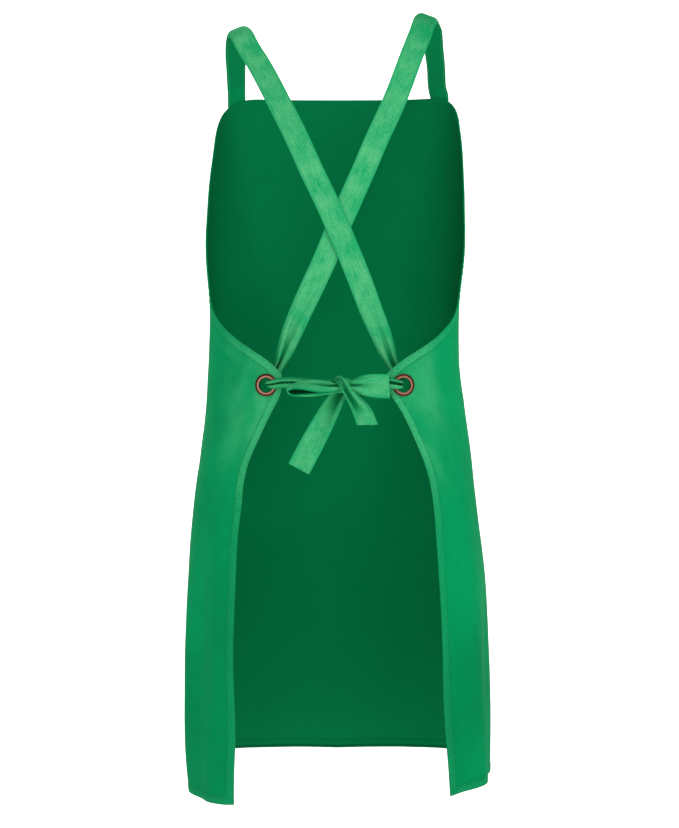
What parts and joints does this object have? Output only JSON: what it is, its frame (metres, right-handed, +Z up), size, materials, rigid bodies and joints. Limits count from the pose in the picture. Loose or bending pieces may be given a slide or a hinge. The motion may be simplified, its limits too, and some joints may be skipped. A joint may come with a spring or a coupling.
{
  "type": "cross back apron",
  "caption": "Full-length bib apron, shown worn: straps cross at the back, pass through metal eyelets in the wings and tie in a bow.",
  "frame": {"origin": "midway between the tops of the two shoulder straps, where the apron hangs on the wearer's shoulders", "axes": "+Z up, -Y towards the front of the apron, +X towards the wearer's left"},
  "size_m": [0.3861, 0.2926, 0.9562],
  "materials": {
    "drill": "matt woven cotton drill",
    "webbing": "matt folded and stitched drill",
    "copper": "antique copper plate, worn bright"
  },
  "bodies": {
    "root": {"apron_panel": "drill", "strap_left": "webbing", "strap_right": "webbing", "eyelet_left": "copper", "eyelet_right": "copper", "bow_knot": "webbing", "bow_loop_left": "webbing", "bow_loop_right": "webbing", "tie_end_long": "webbing", "tie_end_short": "webbing"}
  },
  "joints": []
}
